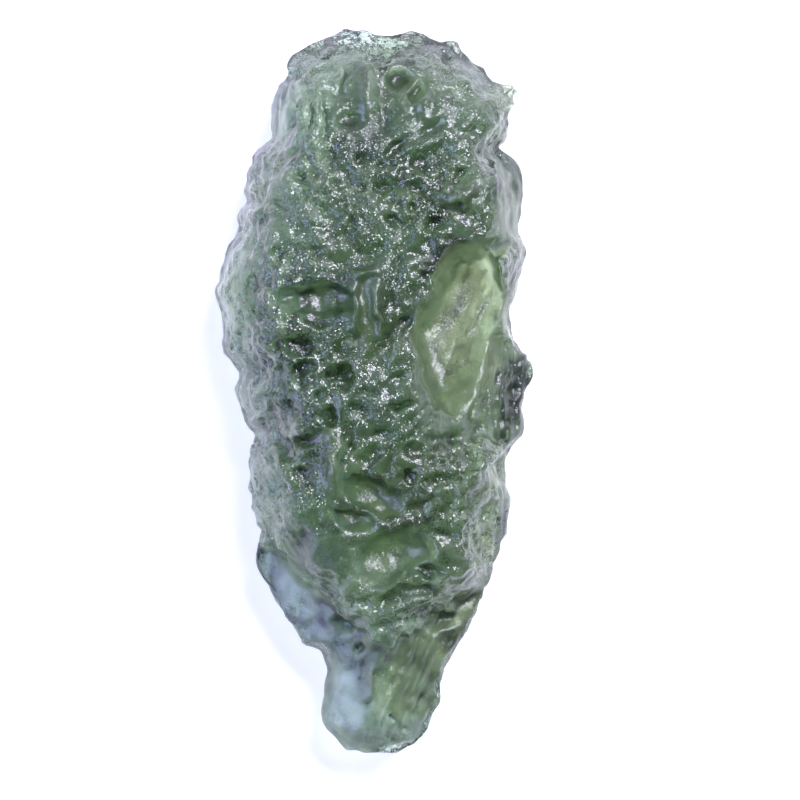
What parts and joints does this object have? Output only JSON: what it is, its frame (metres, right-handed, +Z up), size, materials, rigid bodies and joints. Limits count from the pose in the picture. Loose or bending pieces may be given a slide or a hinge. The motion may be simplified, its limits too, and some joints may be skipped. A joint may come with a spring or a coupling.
{
  "type": "moldavite",
  "caption": "Natural drop of green tektite glass, long and flattened, etched all over with pits and crests, with a smooth scoop and thin clear rims, lying on its back.",
  "frame": {"origin": "centre of the footprint, on the surface that the stone lies on", "axes": "+Z up, +Y along the drop towards its broad end, +X to the right seen from above"},
  "size_m": [0.016, 0.0364, 0.0084],
  "materials": {
    "tektite_glass": "clear bottle-green natural glass, satin where it is etched and glossy in the smooth hollows"
  },
  "bodies": {
    "root": {"moldavite": "tektite_glass"}
  },
  "joints": []
}
